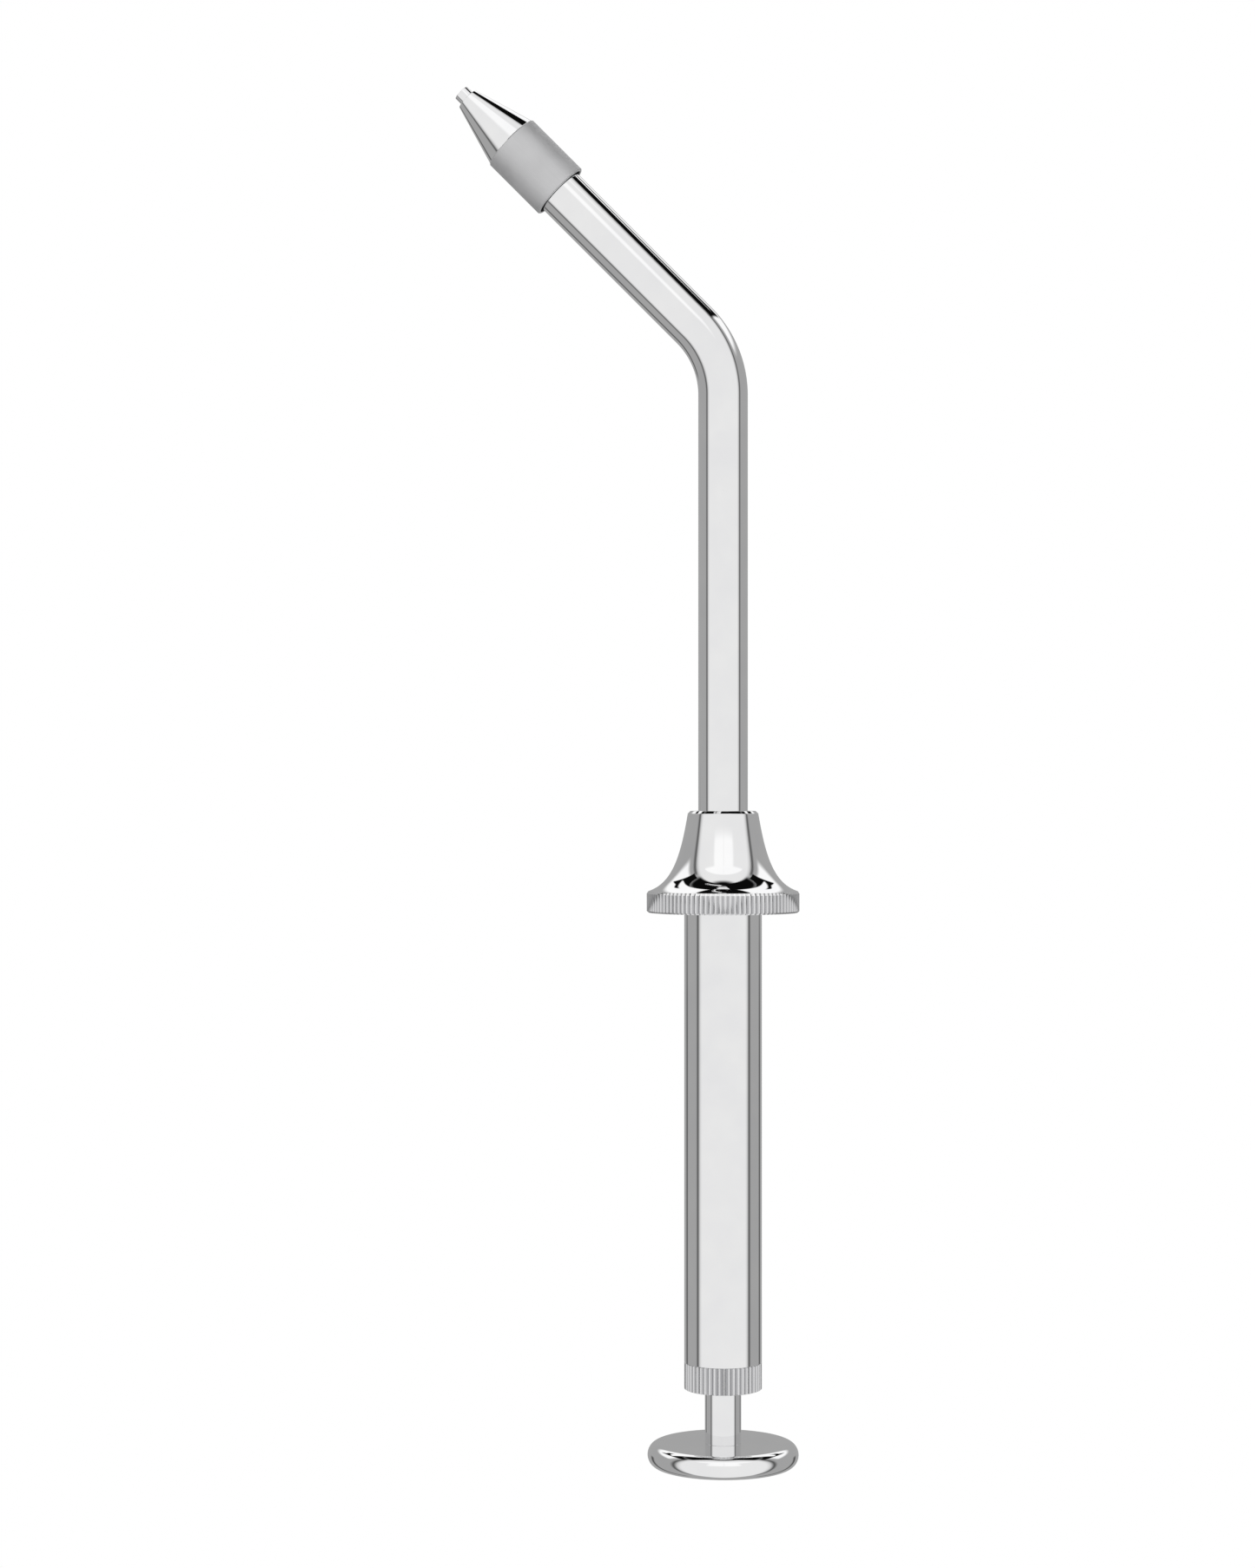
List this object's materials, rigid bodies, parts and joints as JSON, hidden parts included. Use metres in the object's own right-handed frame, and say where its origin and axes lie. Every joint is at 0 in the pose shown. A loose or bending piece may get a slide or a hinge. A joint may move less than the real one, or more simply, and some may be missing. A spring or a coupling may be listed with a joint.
{
  "type": "curved dental carrier syringe",
  "caption": "Stainless dental carrier syringe: palm disc plunger, barrel with trumpet finger flange, bent delivery tube and screw-on cone nozzle with a protruding needle tip.",
  "frame": {"origin": "centre of the palm disc's flat outer face, with the plunger pressed home", "axes": "+Z along the barrel towards the bent delivery tube; the tube leans 45 degrees towards -X, in the XZ plane"},
  "size_m": [0.0417, 0.0186, 0.1672],
  "materials": {
    "polished_steel": "mirror-polished stainless steel",
    "satin_steel": "finely turned or knurled stainless steel",
    "spring_steel": "close-wound stainless spring wire",
    "ptfe": "white PTFE",
    "seal_rubber": "black fluorocarbon rubber"
  },
  "bodies": {
    "handle": {"barrel": "polished_steel", "finger_flange": "polished_steel", "curved_tube": "polished_steel", "tube_ferrule": "satin_steel", "guide_liner": "ptfe", "stop_bumper": "ptfe", "needle_guide": "satin_steel", "flex_coil_bend": "spring_steel", "flex_core_bend": "spring_steel"},
    "nozzle_carriage": {"nozzle_seal": "ptfe"},
    "nozzle": {"nozzle": "polished_steel"},
    "cap_carriage": {"rod_wiper": "seal_rubber"},
    "cap": {"end_cap": "satin_steel", "cap_bush": "ptfe"},
    "plunger_carriage": {"guide_oring": "seal_rubber"},
    "plunger": {"plunger_rod": "polished_steel", "palm_disc": "polished_steel", "guide_piston": "satin_steel", "shaft_pin": "satin_steel", "stop_collar": "satin_steel", "collar_screw": "satin_steel", "flex_coil_rear": "spring_steel", "flex_core_rear": "spring_steel"},
    "needle_carriage": {"needle_bush": "ptfe"},
    "needle": {"needle": "polished_steel", "needle_ferrule": "satin_steel", "flex_coil_front": "spring_steel", "flex_core_front": "spring_steel"}
  },
  "joints": [
    {"name": "nozzle_advance", "type": "slide", "parent": "handle", "child": "nozzle_carriage", "axis": [-0.7071, 0, 0.7071], "range_m": [0, 0.002]},
    {"name": "nozzle_unscrew", "type": "hinge", "parent": "nozzle_carriage", "child": "nozzle", "pos_m": [-0.00351, 0, 0.13829], "axis": [-0.7071, 0, 0.7071], "range_deg": [0, 1440]},
    {"name": "cap_advance", "type": "slide", "parent": "handle", "child": "cap_carriage", "axis": [0, 0, -1], "range_m": [0, 0.003]},
    {"name": "cap_unscrew", "type": "hinge", "parent": "cap_carriage", "child": "cap", "pos_m": [0, 0, 0.0093], "axis": [0, 0, -1], "range_deg": [0, 1440]},
    {"name": "plunger_slide", "type": "slide", "parent": "handle", "child": "plunger_carriage", "axis": [0, 0, -1], "range_m": [0, 0.014], "deforming": ["flex_coil_rear", "flex_core_rear"]},
    {"name": "plunger_spin", "type": "hinge", "parent": "plunger_carriage", "child": "plunger", "pos_m": [0, 0, 0], "axis": [0, 0, 1], "continuous": true},
    {"name": "needle_slide", "type": "slide", "parent": "handle", "child": "needle_carriage", "axis": [0.7071, 0, -0.7071], "range_m": [0, 0.014], "deforming": ["flex_coil_front", "flex_core_front"]},
    {"name": "needle_spin", "type": "hinge", "parent": "needle_carriage", "child": "needle", "pos_m": [-0.00351, 0, 0.13829], "axis": [-0.7071, 0, 0.7071], "continuous": true}
  ],
  "couplings": [
    {"joint": "nozzle_unscrew", "follows": "nozzle_advance", "rad_per_m": 12566},
    {"joint": "cap_unscrew", "follows": "cap_advance", "rad_per_m": 8377.6},
    {"joint": "needle_slide", "follows": "plunger_slide", "ratio": 1},
    {"joint": "needle_spin", "follows": "plunger_spin", "ratio": 1}
  ]
}
